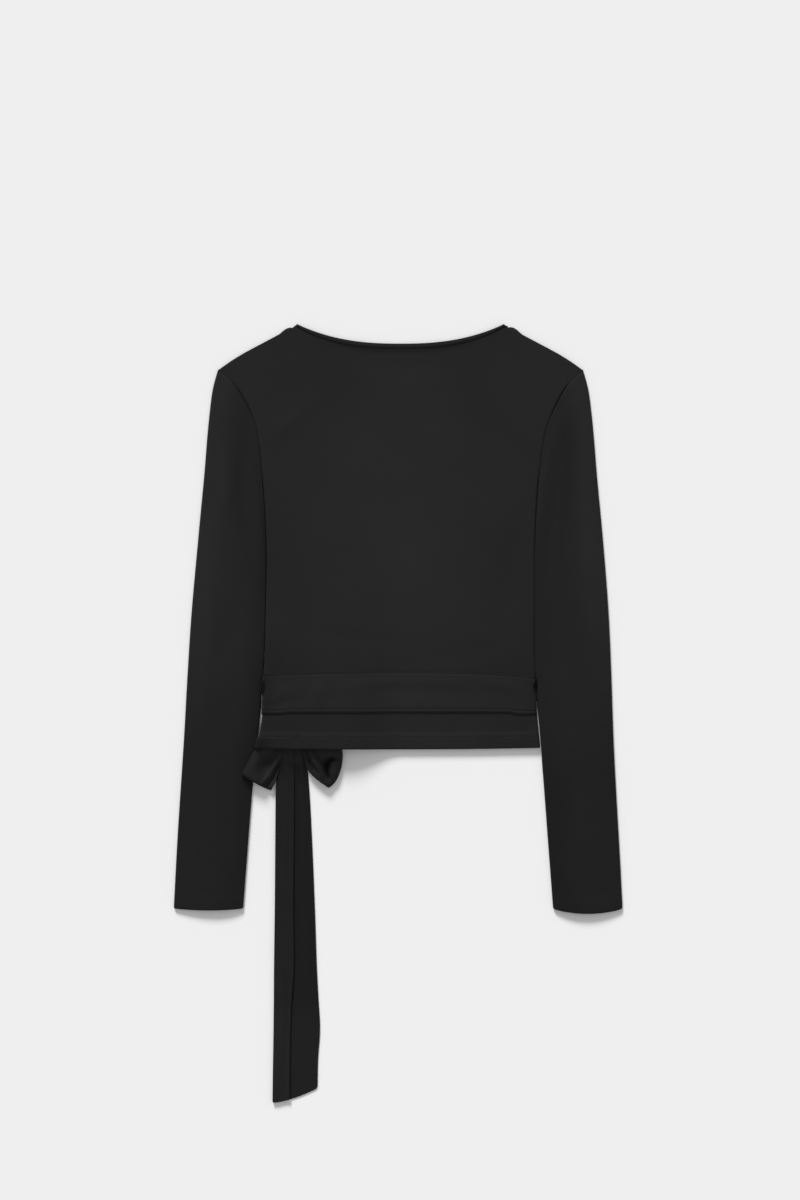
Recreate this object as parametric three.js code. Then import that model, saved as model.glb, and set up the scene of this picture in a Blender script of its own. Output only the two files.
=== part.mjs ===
// Wrap top in fine jersey, laid flat on its front with the back panel up and the sash tied in a bow.
// Millimetres. +X is the garment's right, +Y runs from hem to neck, +Z is up from the surface.
import * as THREE from 'three';
import { mergeVertices } from 'three/addons/utils/BufferGeometryUtils.js';

// Driving dimensions of the garment, flat
const shoulderWidth = 393;
const shoulderDrop = 49;
const shoulderBow = 2.2;
const neckWidth = 225;
const neckDepth = 21;
const backLength = 458;
const underarmHeight = 208;
const sleeveLength = 581;
const sleeveSwing = 2.6;
const sleeveAcross = 78;
const cuffSag = 5;
const sashWidth = 41;
const sashBottom = 39;
const sashBow = 3;
const tailLength = 382;
const tailSlant = 15;
const hemSag = 1.6;

// Cloth
const wall = 1.2;
const seamGap = 0.3;
const layerStep = wall + 0.4;
const armholeGap = 0.9;
const bandGap = 0.7;
const sashWall = 1.3;
const sashClear = 0.45;
const bandWidth = 4.2;
const bandWall = 1.9;
const sleeveFlat = 3.2;
const sleeveCrown = 1.8;

// Wrap: where the free ends of the two fronts stop, and how far past them the layers above ease down
const overEnd = -88;
const wrapHeight = 84;
const easeDown = { far: -112, near: -46 };

// Knot with the cloth that enters it, and how the panels ride over it and the loops
const knot = { x: -118, y: 29, width: 32, height: 22, thick: 9, entryWidth: 16, entryHeight: 3, square: 0.7 };
const bowRoot = knot.y - knot.height / 2 - seamGap;
const lift = { height: 9.8, x: -112, halfWidth: 50, fallX: 62, top: 40, fallY: 96 };

const shoulderHalf = shoulderWidth / 2;
const neckHalf = neckWidth / 2;
const shoulderHeight = backLength - shoulderDrop;

// Half width of the body and its sideways lean at heights above the hem
const bodyRows = [
  { up: 0, half: 151.6, lean: -1.6 },
  { up: 20, half: 149.4, lean: -1.2 },
  { up: sashBottom, half: 147.2, lean: -0.8 },
  { up: 72, half: 146.2, lean: -0.6 },
  { up: 100, half: 144.8, lean: -0.6 },
  { up: 150, half: 144.6, lean: -0.4 },
  { up: underarmHeight, half: 144.4, lean: 0 },
  { up: 255, half: 146.2, lean: 0 },
  { up: 300, half: 149.6, lean: 0 },
  { up: 339, half: 154.6, lean: 0.8 },
  { up: 362, half: 162, lean: 1.2 },
  { up: 392, half: 178.8, lean: 0.6 },
  { up: shoulderHeight, half: shoulderHalf, lean: 0 },
];

// Outer edge of a sleeve, shoulder to cuff
const outerRows = [
  { up: shoulderHeight, half: shoulderHalf + 0.4 },
  { up: 390, half: 202.1 },
  { up: 372, half: 204.8 },
  { up: 338, half: 208.3 },
  { up: 298, half: 211.5 },
  { up: 234, half: 217.6 },
  { up: 148, half: 224.9 },
  { up: 79, half: 228.7 },
  { up: 9, half: 231.9 },
  { up: -107, half: 238.8 },
  { up: shoulderHeight - sleeveLength, half: 242.2 },
];

// Inner edge of a sleeve, underarm to cuff, clear of the body and of the sash round its side
const innerRows = [
  { up: underarmHeight, half: 145.4 },
  { up: 150, half: 145.9 },
  { up: 108, half: 147 },
  { up: 82, half: 149.2 },
  { up: 38, half: 150.8 },
  { up: 0, half: 154.2 },
  { up: -40, half: 157.1 },
  { up: -107, half: 162.3 },
  { up: shoulderHeight - sleeveLength, half: 167.2 },
];

// Edges of the lower tail and the free edge of the folded tail on it, by distance below the hem
const tailRows = [
  { down: -bowRoot, left: -122.4, fold: -118, right: -113.4 },
  { down: 3, left: -126.6, fold: -116, right: -103.6 },
  { down: 19, left: -130.6, fold: -115.2, right: -100.8 },
  { down: 32, left: -134, fold: -115, right: -99.4 },
  { down: 82, left: -135, fold: -115, right: -96.3 },
  { down: 174, left: -135.8, fold: -115.8, right: -92.4 },
  { down: 237, left: -136.6, fold: -115.4, right: -90.4 },
  { down: 276, left: -136.8, fold: -118, right: -88.6 },
  { down: 314, left: -137.2, fold: -119.4, right: -86.9 },
  { down: 350, left: -137.8, fold: -119.9, right: -89 },
  { down: tailLength, left: -138.2, fold: -120, right: -89.6 },
];

// Side edges of the two bow loops in plan, knot to fold
const loopLeft = {
  outer: [[-131.4, bowRoot], [-146, 6], [-157, -1.5], [-166, -17], [-172.4, -27.8]],
  inner: [[-123.4, bowRoot], [-126.2, 0], [-130, -16], [-135.4, -33], [-142.4, -44.4]],
};
const loopRight = {
  outer: [[-104.2, bowRoot], [-86, 8], [-70, 2], [-63.4, -4], [-62.6, -10]],
  inner: [[-112.4, bowRoot], [-102.2, -2], [-99, -20], [-90.8, -30.4], [-74.4, -41.4]],
};
const loopHollow = 3.2;

const smooth = (low, high, t) => {
  const s = Math.min(1, Math.max(0, (t - low) / (high - low)));
  return s * s * (3 - 2 * s);
};
const mix = (a, b, t) => a + (b - a) * t;

// Value of a column of a table at a key, eased through its rows
function column(rows, key, name, at) {
  const falling = rows[0][key] > rows[rows.length - 1][key];
  const list = falling ? [...rows].reverse() : rows;
  const last = list.length - 1;
  let i = 0;
  while (i < last - 1 && at > list[i + 1][key]) i += 1;
  const slope = (k) => {
    const a = Math.max(0, k - 1);
    const b = Math.min(last, k + 1);
    return (list[b][name] - list[a][name]) / (list[b][key] - list[a][key]);
  };
  const span = list[i + 1][key] - list[i][key];
  const t = Math.min(1, Math.max(0, (at - list[i][key]) / span));
  const t2 = t * t;
  const t3 = t2 * t;
  return (2 * t3 - 3 * t2 + 1) * list[i][name] + (t3 - 2 * t2 + t) * span * slope(i)
    + (3 * t2 - 2 * t3) * list[i + 1][name] + (t3 - t2) * span * slope(i + 1);
}

const bodyEdge = (side, up) => (
  column(bodyRows, 'up', 'lean', up) + side * column(bodyRows, 'up', 'half', up)
);

// Back neckline and shoulder as height over x
function neckTop(x) {
  return backLength - neckDepth * (1 - Math.pow(Math.abs(x) / neckHalf, 2.45));
}

function shoulderTop(x) {
  const t = (Math.abs(x) - neckHalf) / (shoulderHalf - neckHalf);
  return backLength - shoulderDrop * t + shoulderBow * Math.sin(Math.PI * t * t);
}

// The neck band narrows as it turns over each shoulder
const bandAt = (x) => bandWidth * (1 - 0.7 * Math.pow(Math.abs(x) / neckHalf, 6));

// The hem sags a little in the middle
const hemHeight = (x) => hemSag * ((x / bodyRows[0].half) ** 2 - 0.25);

// Free edge of a front as a straight wrap line from the neck point to the end of the tie
function wrapLine(side) {
  const start = new THREE.Vector2(side * neckHalf, backLength);
  const endX = side > 0 ? overEnd : bodyEdge(1, wrapHeight) - 0.8;
  const end = new THREE.Vector2(endX, wrapHeight);
  const along = end.clone().sub(start).normalize();
  const inward = new THREE.Vector2(-along.y * side, along.x * side);
  return { start, end, inward };
}
const overLine = wrapLine(1);
const underLine = wrapLine(-1);

// How much of a front lies under a point: 1 on it and near it, easing to 0 well clear of it
function cover(line, side, x, y) {
  const fromLine = (x - line.start.x) * line.inward.x + (y - line.start.y) * line.inward.y;
  const fromEnd = side * (x - line.end.x);
  return smooth(easeDown.far, easeDown.near, Math.min(fromLine, fromEnd));
}

// Rise of all panels over the knot and the loops
function rise(x, y) {
  const across = 1 - smooth(lift.halfWidth, lift.halfWidth + lift.fallX, Math.abs(x - lift.x));
  const upward = 1 - smooth(lift.top, lift.top + lift.fallY, y);
  return lift.height * across * upward;
}

const overZ = (x, y) => rise(x, y);
const underZ = (x, y) => rise(x, y) + layerStep * cover(overLine, 1, x, y);
const backZ = (x, y) => underZ(x, y) + layerStep * cover(underLine, -1, x, y);

// Closed solid from a vertex list and quads; turned the right way out if it came inside out
function closedSolid(points, quads) {
  const positions = [];
  for (const p of points) positions.push(p.x, p.y, p.z);
  const index = [];
  for (const [a, b, c, d] of quads) index.push(a, b, c, a, c, d);
  let volume = 0;
  for (let i = 0; i < index.length; i += 3) {
    const [a, b, c] = [points[index[i]], points[index[i + 1]], points[index[i + 2]]];
    volume += a.dot(b.clone().cross(c));
  }
  if (volume < 0) index.reverse();
  const geometry = new THREE.BufferGeometry();
  geometry.setAttribute('position', new THREE.Float32BufferAttribute(positions, 3));
  geometry.setIndex(index);
  return geometry;
}

// Sheet with a thickness: at(u, v) gives its low and high point
function sheetSolid(us, vs, at) {
  const points = [];
  for (const v of vs) {
    for (const u of us) {
      const { low, high } = at(u, v);
      points.push(low, high);
    }
  }
  const nu = us.length;
  const nv = vs.length;
  const id = (i, j, top) => (j * nu + i) * 2 + top;
  const quads = [];
  for (let j = 0; j < nv - 1; j += 1) {
    for (let i = 0; i < nu - 1; i += 1) {
      quads.push([id(i, j, 1), id(i + 1, j, 1), id(i + 1, j + 1, 1), id(i, j + 1, 1)]);
      quads.push([id(i, j + 1, 0), id(i + 1, j + 1, 0), id(i + 1, j, 0), id(i, j, 0)]);
    }
  }
  for (let i = 0; i < nu - 1; i += 1) {
    quads.push([id(i, 0, 0), id(i + 1, 0, 0), id(i + 1, 0, 1), id(i, 0, 1)]);
    quads.push([id(i, nv - 1, 1), id(i + 1, nv - 1, 1), id(i + 1, nv - 1, 0), id(i, nv - 1, 0)]);
  }
  for (let j = 0; j < nv - 1; j += 1) {
    quads.push([id(0, j, 1), id(0, j + 1, 1), id(0, j + 1, 0), id(0, j, 0)]);
    quads.push([id(nu - 1, j, 0), id(nu - 1, j + 1, 0), id(nu - 1, j + 1, 1), id(nu - 1, j, 1)]);
  }
  return closedSolid(points, quads);
}

// Tube with a wall: at(ring, station, inside) gives a point
function tubeSolid(ringCount, stations, at) {
  const points = [];
  stations.forEach((v) => {
    for (let i = 0; i < ringCount; i += 1) points.push(at(i, v, false), at(i, v, true));
  });
  const id = (i, j, inside) => (j * ringCount + (i % ringCount)) * 2 + inside;
  const quads = [];
  const last = stations.length - 1;
  for (let i = 0; i < ringCount; i += 1) {
    for (let j = 0; j < last; j += 1) {
      quads.push([id(i, j, 0), id(i + 1, j, 0), id(i + 1, j + 1, 0), id(i, j + 1, 0)]);
      quads.push([id(i, j + 1, 1), id(i + 1, j + 1, 1), id(i + 1, j, 1), id(i, j, 1)]);
    }
    quads.push([id(i, 0, 1), id(i + 1, 0, 1), id(i + 1, 0, 0), id(i, 0, 0)]);
    quads.push([id(i, last, 0), id(i + 1, last, 0), id(i + 1, last, 1), id(i, last, 1)]);
  }
  return closedSolid(points, quads);
}

const steps = (count) => Array.from({ length: count + 1 }, (_, i) => i / count);

// Steps that are close together up to a share of the way and wider after it
function denseSteps(fine, share, coarse) {
  const near = Array.from({ length: fine }, (_, i) => (i / fine) * share);
  return [...near, ...steps(coarse).map((t) => mix(share, 1, t))];
}

// Rows of a panel: close at the hem and round the armhole, wider between
const heightSteps = [
  ...steps(8).map((t) => t * 0.24),
  ...steps(5).slice(1).map((t) => mix(0.24, 0.66, t)),
  ...steps(9).slice(1).map((t) => mix(0.66, 1, t)),
];

// Plan point of a patch spanned by four edge curves
function patch(bottom, top, left, right) {
  const corners = [bottom(0), bottom(1), top(0), top(1)];
  return (u, v) => {
    const [b, t, l, r] = [bottom(u), top(u), left(v), right(v)];
    const at = (axis) => mix(b[axis], t[axis], v) + mix(l[axis], r[axis], u)
      - mix(mix(corners[0][axis], corners[1][axis], u), mix(corners[2][axis], corners[3][axis], u), v);
    return { x: at('x'), y: at('y') };
  };
}

// Curve through plan points, read by its length
function edgeCurve(list) {
  const curve = new THREE.CatmullRomCurve3(
    list.map(([x, y]) => new THREE.Vector3(x, y, 0)),
    false,
    'centripetal',
  );
  curve.arcLengthDivisions = 400;
  return (t) => curve.getPointAt(Math.min(1, Math.max(0, t)));
}

// Side edge of the body from hem to shoulder tip
function sideCurve(side) {
  return edgeCurve(bodyRows.map((row) => {
    const up = row.up === 0 ? hemHeight(bodyEdge(side, 0)) : row.up;
    return [row.lean + side * row.half, up];
  }));
}

function wallAt(plan, base, thick) {
  const { x, y } = plan;
  const z = base(x, y);
  return { low: new THREE.Vector3(x, y, z), high: new THREE.Vector3(x, y, z + thick) };
}

function backPanel() {
  const topHeight = (x) => (Math.abs(x) < neckHalf
    ? neckTop(x) - bandAt(x) - bandGap
    : shoulderTop(x) - (bandAt(neckHalf) + bandGap) * (1 - smooth(neckHalf, neckHalf + 6, Math.abs(x))));
  const top = (u) => {
    const x = mix(-shoulderHalf, shoulderHalf, u);
    return { x, y: topHeight(x) };
  };
  const hem = (u) => {
    const x = mix(bodyEdge(-1, 0), bodyEdge(1, 0), u);
    return { x, y: hemHeight(x) };
  };
  const plan = patch(hem, top, sideCurve(-1), sideCurve(1));
  return sheetSolid(
    denseSteps(13, 0.5, 8),
    heightSteps,
    (u, v) => wallAt(plan(u, v), backZ, wall),
  );
}

// Wrapped front: side seam and shoulder on one side, free end and wrap edge on the other
function frontPanel(side, base) {
  const line = side > 0 ? overLine : underLine;
  const inset = bandWidth + bandGap;
  const start = line.start.clone().addScaledVector(line.inward, inset);
  const bend = line.end.clone().addScaledVector(line.inward, inset);
  const foot = [line.end.x, hemHeight(line.end.x)];
  const seam = sideCurve(side);
  const free = edgeCurve([
    foot,
    [line.end.x, wrapHeight * 0.45],
    [line.end.x, wrapHeight * 0.78],
    ...[0.02, 0.1, 0.25, 0.5, 0.75, 1].map((t) => [mix(bend.x, start.x, t), mix(bend.y, start.y, t)]),
  ]);
  const seamFoot = seam(0);
  const shoulder = (u) => {
    const x = mix(start.x, side * shoulderHalf, u);
    return { x, y: mix(start.y, shoulderTop(x), smooth(0, 0.2, u)) };
  };
  const hem = (u) => {
    const x = mix(foot[0], seamFoot.x, u);
    return { x, y: hemHeight(x) };
  };
  const plan = patch(hem, shoulder, free, seam);
  const across = side > 0 ? denseSteps(8, 0.42, 6) : denseSteps(8, 0.5, 13);
  return sheetSolid(across, heightSteps, (u, v) => wallAt(plan(u, v), base, wall));
}

// Narrow binding along a front's wrap edge
function frontBand(side, base) {
  const line = side > 0 ? overLine : underLine;
  return sheetSolid([0, 1], steps(20), (u, v) => {
    const plan = line.start.clone().lerp(line.end, v * 0.985);
    plan.addScaledVector(line.inward, bandWidth * u);
    return wallAt(plan, base, wall);
  });
}

// Neck band along the back neckline, a little proud of the panel
function backBand() {
  return sheetSolid(steps(26), [0, 1], (u, v) => {
    const x = mix(-neckHalf, neckHalf, u);
    return wallAt({ x, y: neckTop(x) - bandAt(x) * (1 - v) }, backZ, bandWall);
  });
}

// Collapsed sleeve tube from the armhole to the cuff
function sleeve(side) {
  const armhole = edgeCurve(bodyRows.filter((row) => row.up >= underarmHeight).reverse()
    .map((row) => [row.lean + side * (row.half + armholeGap), row.up]));
  const foot = shoulderHeight - sleeveLength;
  const swing = (up) => (side < 0 ? 1 : -1) * sleeveSwing * smooth(250, -100, up);
  const plan = (s, v) => {
    const outUp = mix(shoulderHeight, foot, v);
    const inUp = mix(underarmHeight, foot, v);
    const outHalf = column(outerRows, 'up', 'half', outUp) + swing(outUp);
    const inHalf = column(innerRows, 'up', 'half', inUp) + swing(inUp);
    const start = armhole(s);
    const fade = Math.pow(1 - v, 1.4);
    const straightX = side * mix(outerRows[0].half, innerRows[0].half, s);
    const straightY = mix(shoulderHeight, underarmHeight, s);
    const sag = cuffSag * Math.sin(Math.PI * s) * Math.pow(v, 6);
    return {
      x: side * mix(outHalf, inHalf, s) + (start.x - straightX) * fade,
      y: mix(outUp, inUp, s) + (start.y - straightY) * fade - sag,
    };
  };
  const ringCount = 26;
  const bend = sleeveFlat / 2;
  return tubeSolid(ringCount, steps(16), (i, v, inside) => {
    const turn = (i / ringCount) * Math.PI * 2;
    const s = 0.5 - 0.5 * Math.sign(Math.cos(turn)) * Math.pow(Math.abs(Math.cos(turn)), 0.75);
    const near = Math.min(s, 1 - s) * sleeveAcross;
    const roll = near >= bend ? 1 : Math.sqrt(1 - (1 - near / bend) ** 2);
    const crown = sleeveCrown * Math.sin(Math.PI * s) ** 0.8;
    const half = (bend + crown / 2) * (inside ? 1 : roll);
    const up = Math.sin(turn) >= 0 ? 1 : -1;
    const edge = Math.abs(Math.sin(turn)) < 1e-6;
    if (!inside) {
      const p = plan(s, v);
      const centre = bend + crown / 2;
      return new THREE.Vector3(p.x, p.y, edge ? centre : centre + up * half);
    }
    const inset = wall / sleeveAcross;
    const p = plan(mix(inset, 1 - inset, s), v);
    const open = edge ? 0 : half - wall;
    return new THREE.Vector3(p.x, p.y, bend + crown / 2 + up * open);
  });
}

// Height of the sash: it bows up a little at the middle and sinks at its right end
function sashHeight(run, v) {
  const right = Math.max(0, run);
  const bow = sashBow * (1 - run ** 2) - (sashBow + 0.5) * right ** 4;
  return sashBottom + sashWidth * v + bow * v - 2.6 * right ** 6 * (1 - v);
}

// Sash: from the slit in the right side, over the back, round the left side and under to the knot
function sash() {
  const faceZ = (x, y) => backZ(x, y) + wall + seamGap;
  const knotEdge = knot.x - knot.width / 2 - seamGap;
  const stations = [];
  const side = (end, z) => ({ end, z });
  stations.push(side(1, 'start'), side(1, 'top'));
  steps(20).slice(1, -1).forEach((t) => stations.push({ run: mix(1, -1, t) }));
  stations.push(side(-1, 'top'), side(-1, 'bottom'));
  steps(4).slice(1).forEach((t) => stations.push({ under: t }));
  return sheetSolid(stations.map((_, i) => i), steps(4), (i, v) => {
    const station = stations[i];
    const run = station.run ?? station.end ?? -1;
    const flat = sashHeight(run, v);
    if (station.run !== undefined) {
      const x = mix(bodyEdge(-1, flat), bodyEdge(1, flat), (run + 1) / 2);
      const z = faceZ(x, flat);
      return { low: new THREE.Vector3(x, flat, z), high: new THREE.Vector3(x, flat, z + sashWall) };
    }
    if (station.under !== undefined) {
      const x = mix(bodyEdge(-1, flat) - sashClear, knotEdge, station.under);
      const gathered = knot.y + (v - 0.5) * knot.entryWidth;
      const y = mix(flat, gathered, smooth(0, 1, station.under));
      return { low: new THREE.Vector3(x, y, sashWall), high: new THREE.Vector3(x, y, 0) };
    }
    const inX = bodyEdge(station.end, flat) + station.end * sashClear;
    const outX = inX + station.end * sashWall;
    const top = faceZ(bodyEdge(station.end, flat), flat);
    const zs = {
      start: [layerStep, layerStep],
      top: [top, top + sashWall],
      bottom: [sashWall, 0],
    }[station.z];
    return { low: new THREE.Vector3(inX, flat, zs[0]), high: new THREE.Vector3(outX, flat, zs[1]) };
  });
}

// Short tie from the free end of the over front to the knot
function overTie() {
  const from = overEnd - 3 * seamGap;
  const to = knot.x + knot.width / 2 + seamGap;
  return sheetSolid(steps(4), steps(3), (u, v) => {
    const x = mix(from, to, u);
    const flat = sashBottom + sashWidth * v;
    const y = mix(flat, knot.y + (v - 0.5) * knot.entryWidth, smooth(0, 1, u));
    const z = mix(rise(x, flat), knot.entryHeight, smooth(0, 1, u));
    return { low: new THREE.Vector3(x, y, z), high: new THREE.Vector3(x, y, z + sashWall) };
  });
}

// Knot: a soft rounded block
function knotSolid() {
  const sphere = new THREE.SphereGeometry(1, 20, 12);
  sphere.deleteAttribute('normal');
  sphere.deleteAttribute('uv');
  const merged = mergeVertices(sphere, 1e-5);
  const position = merged.attributes.position;
  const boxy = (value) => Math.sign(value) * Math.pow(Math.abs(value), knot.square);
  for (let i = 0; i < position.count; i += 1) {
    position.setXYZ(
      i,
      knot.x + boxy(position.getX(i)) * knot.width / 2,
      knot.y + boxy(position.getY(i)) * knot.height / 2,
      knot.thick / 2 + boxy(position.getZ(i)) * knot.thick / 2,
    );
  }
  return merged;
}

// Bow loop: a band that runs out from the knot, folds and comes back over itself
function bowLoop(edges, baseAt) {
  const outer = edgeCurve(edges.outer);
  const inner = edgeCurve(edges.inner);
  const length = outer(0).distanceTo(outer(1));
  const bend = (loopHollow + sashWall) / 2;
  const tip = 1 - (bend + sashWall / 2) / length;
  const reach = steps(7).map((t) => t * tip);
  const opening = (a) => mix(seamGap + sashWall, loopHollow + sashWall, smooth(0, 0.5, a));
  const stations = [];
  reach.forEach((a) => stations.push({ a, z: sashWall / 2, na: 0, nz: -1 }));
  [-60, -30, 0, 30, 60].forEach((degrees) => {
    const angle = THREE.MathUtils.degToRad(degrees);
    stations.push({
      a: tip + (bend * Math.cos(angle)) / length,
      z: sashWall / 2 + bend + bend * Math.sin(angle),
      na: Math.cos(angle),
      nz: Math.sin(angle),
    });
  });
  [...reach].reverse().forEach((a) => {
    stations.push({ a, z: sashWall / 2 + opening(a), na: 0, nz: 1 });
  });
  return sheetSolid(stations.map((_, i) => i), steps(4), (i, v) => {
    const station = stations[i];
    const place = (offset) => {
      const a = station.a + (station.na * offset) / length;
      const p = inner(a).lerp(outer(a), v);
      return new THREE.Vector3(p.x, p.y, baseAt(p.x, a) + station.z + station.nz * offset);
    };
    return { low: place(-sashWall / 2), high: place(sashWall / 2) };
  });
}

// Tails of the bow: the lower one at full width, the upper one folded in half along its length
function tail(from, to, base, count) {
  return sheetSolid(steps(count), steps(22), (u, v) => {
    const reach = mix(-bowRoot, tailLength, v);
    const left = column(tailRows, 'down', 'left', reach);
    const right = column(tailRows, 'down', 'right', reach);
    const fold = column(tailRows, 'down', 'fold', reach);
    const edge = { left, right, fold };
    const x = mix(edge[from], edge[to], u);
    const share = (x - left) / (right - left);
    const slant = tailSlant * Math.pow(share, 1.3) * smooth(0.5, 1, v);
    return wallAt({ x, y: -reach + slant }, () => base, sashWall);
  });
}

const sleeveTop = sleeveFlat + 0.75 * sleeveCrown + seamGap;
const leftLoopBase = (x, a) => sleeveTop * (1 - smooth(-157, -141, x)) * smooth(0, 0.4, a);

const colours = { jersey: 0x232323, sash: 0x242424, band: 0x202020 };
const nodes = [
  ['back_panel', backPanel(), 'jersey'],
  ['front_over', frontPanel(1, overZ), 'jersey'],
  ['front_under', frontPanel(-1, underZ), 'jersey'],
  ['sleeve_left', sleeve(-1), 'jersey'],
  ['sleeve_right', sleeve(1), 'jersey'],
  ['neck_band_back', backBand(), 'band'],
  ['neck_band_over', frontBand(1, overZ), 'band'],
  ['neck_band_under', frontBand(-1, underZ), 'band'],
  ['sash', sash(), 'sash'],
  ['tie_over', overTie(), 'sash'],
  ['bow_knot', knotSolid(), 'sash'],
  ['bow_loop_left', bowLoop(loopLeft, leftLoopBase), 'sash'],
  ['bow_loop_right', bowLoop(loopRight, () => 0), 'sash'],
  ['tail_lower', tail('left', 'right', 0, 4), 'sash'],
  ['tail_upper', tail('left', 'fold', sashWall + seamGap, 3), 'sash'],
];

const wrapTop = new THREE.Group();
for (const [name, geometry, cloth] of nodes) {
  const material = new THREE.MeshStandardMaterial({
    color: colours[cloth],
    roughness: 0.85,
    metalness: 0,
  });
  const mesh = new THREE.Mesh(geometry, material);
  mesh.name = name;
  wrapTop.add(mesh);
}

// The origin is under the middle of the garment's bounding box
const bounds = new THREE.Box3().setFromObject(wrapTop);
const middle = bounds.getCenter(new THREE.Vector3());
wrapTop.position.set(-middle.x, -middle.y, -bounds.min.z);

export default wrapTop;
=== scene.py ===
import bisect
import math
import random

import bmesh
import bpy
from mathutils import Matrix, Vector


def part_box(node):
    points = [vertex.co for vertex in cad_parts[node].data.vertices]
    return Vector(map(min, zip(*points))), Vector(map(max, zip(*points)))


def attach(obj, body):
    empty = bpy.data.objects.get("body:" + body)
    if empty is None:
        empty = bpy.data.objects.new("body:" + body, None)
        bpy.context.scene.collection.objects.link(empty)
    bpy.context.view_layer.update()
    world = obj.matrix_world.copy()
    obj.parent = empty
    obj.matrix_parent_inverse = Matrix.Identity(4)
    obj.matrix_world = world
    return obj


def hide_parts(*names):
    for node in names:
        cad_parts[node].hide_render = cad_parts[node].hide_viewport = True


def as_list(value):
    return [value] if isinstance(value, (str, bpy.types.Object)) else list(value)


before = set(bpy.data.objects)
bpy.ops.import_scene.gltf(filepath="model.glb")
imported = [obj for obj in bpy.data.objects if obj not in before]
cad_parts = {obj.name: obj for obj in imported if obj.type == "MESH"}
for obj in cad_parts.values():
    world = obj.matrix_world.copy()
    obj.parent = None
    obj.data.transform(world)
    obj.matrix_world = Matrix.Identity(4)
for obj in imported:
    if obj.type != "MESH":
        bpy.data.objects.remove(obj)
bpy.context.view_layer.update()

random.seed(7)

# Garment sizes in millimetres, flat, measured from the middle of the hem
garment = {
    "shoulderHalf": 196.5,
    "shoulderDrop": 49.0,
    "shoulderBow": 2.2,
    "neckHalf": 112.5,
    "neckDepth": 21.0,
    "neckPower": 2.45,
    "backLength": 458.0,
    "underarm": 208.0,
    "sleeveLength": 581.0,
    "sleeveSwing": 2.6,
    "wall": 1.2,
    "layerStep": 1.6,
    "bandWidth": 5.0,
    "seamGap": 0.3,
    "hemRise": -0.4,
    "hemSag": 1.6,
    "hemHalf": 150.0,
}
shoulderHeight = garment["backLength"] - garment["shoulderDrop"]
sleeveFoot = shoulderHeight - garment["sleeveLength"]

knot = {"x": -118.0, "y": 29.0, "width": 32.0, "height": 22.0, "thick": 9.0}
sashSizes = {"bottom": 39.0, "width": 41.0, "wall": 1.3, "entryWidth": 16.0}
lift = {"height": 9.8, "x": -112.0, "halfWidth": 50.0, "fallX": 60.0, "top": 40.0, "fallY": 96.0}
wrap = {"overEnd": -88.0, "height": 84.0, "easeFar": -112.0, "easeNear": -46.0}

# The frame's origin is under the middle of the part, so the knot's box, in metres, gives the shift
knotLow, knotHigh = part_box("bow_knot")
shiftX = (knotLow[0] + knotHigh[0]) / 2 * 1000 - knot["x"]
shiftY = (knotLow[1] + knotHigh[1]) / 2 * 1000 - knot["y"]

bodyRows = [
    {"up": 0, "half": 151.6, "lean": -1.6},
    {"up": 20, "half": 149.4, "lean": -1.2},
    {"up": 39, "half": 147.2, "lean": -0.8},
    {"up": 72, "half": 146.2, "lean": -0.6},
    {"up": 100, "half": 144.8, "lean": -0.6},
    {"up": 150, "half": 144.6, "lean": -0.4},
    {"up": 208, "half": 144.4, "lean": 0},
    {"up": 255, "half": 146.2, "lean": 0},
    {"up": 300, "half": 149.6, "lean": 0},
    {"up": 339, "half": 154.6, "lean": 0.8},
    {"up": 362, "half": 162, "lean": 1.2},
    {"up": 392, "half": 178.8, "lean": 0.6},
    {"up": 409, "half": 196.5, "lean": 0},
]
outerRows = [
    {"up": sleeveFoot, "half": 242.2},
    {"up": -107, "half": 238.8},
    {"up": 9, "half": 231.9},
    {"up": 79, "half": 228.7},
    {"up": 148, "half": 224.9},
    {"up": 234, "half": 217.6},
    {"up": 298, "half": 211.5},
    {"up": 338, "half": 208.3},
    {"up": 372, "half": 204.8},
    {"up": 390, "half": 202.1},
    {"up": shoulderHeight, "half": 196.9},
]
innerRows = [
    {"up": sleeveFoot, "half": 167.2},
    {"up": -107, "half": 162.3},
    {"up": -40, "half": 157.1},
    {"up": 0, "half": 153.2},
    {"up": 20, "half": 151.2},
    {"up": 38, "half": 149.8},
    {"up": 56, "half": 148.2},
    {"up": 82, "half": 146.6},
    {"up": 108, "half": 145.9},
    {"up": 150, "half": 145.5},
    {"up": 208, "half": 145.2},
]
tailRows = [
    {"down": -18, "left": -122.4, "fold": -118, "right": -113.4},
    {"down": 3, "left": -126.6, "fold": -116, "right": -103.6},
    {"down": 19, "left": -130.6, "fold": -115.2, "right": -100.8},
    {"down": 32, "left": -134, "fold": -115, "right": -99.4},
    {"down": 82, "left": -135, "fold": -115, "right": -96.3},
    {"down": 174, "left": -135.8, "fold": -115.8, "right": -92.4},
    {"down": 237, "left": -136.6, "fold": -115.4, "right": -90.4},
    {"down": 276, "left": -136.8, "fold": -118, "right": -88.6},
    {"down": 314, "left": -137.2, "fold": -119.4, "right": -86.9},
    {"down": 350, "left": -137.8, "fold": -119.9, "right": -89},
    {"down": 382, "left": -138.2, "fold": -120, "right": -89.6},
]


def mix(a, b, t):
    return a + (b - a) * t


def smooth(low, high, t):
    s = min(1.0, max(0.0, (t - low) / (high - low)))
    return s * s * (3 - 2 * s)


def bump(t, width):
    return math.exp(-((t / width) ** 2))


# From a to b with the given slopes at both ends
def cubic(a, b, slopeA, slopeB, t):
    t2 = t * t
    t3 = t2 * t
    return (2 * t3 - 3 * t2 + 1) * a + (t3 - 2 * t2 + t) * slopeA + (3 * t2 - 2 * t3) * b + (t3 - t2) * slopeB


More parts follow.
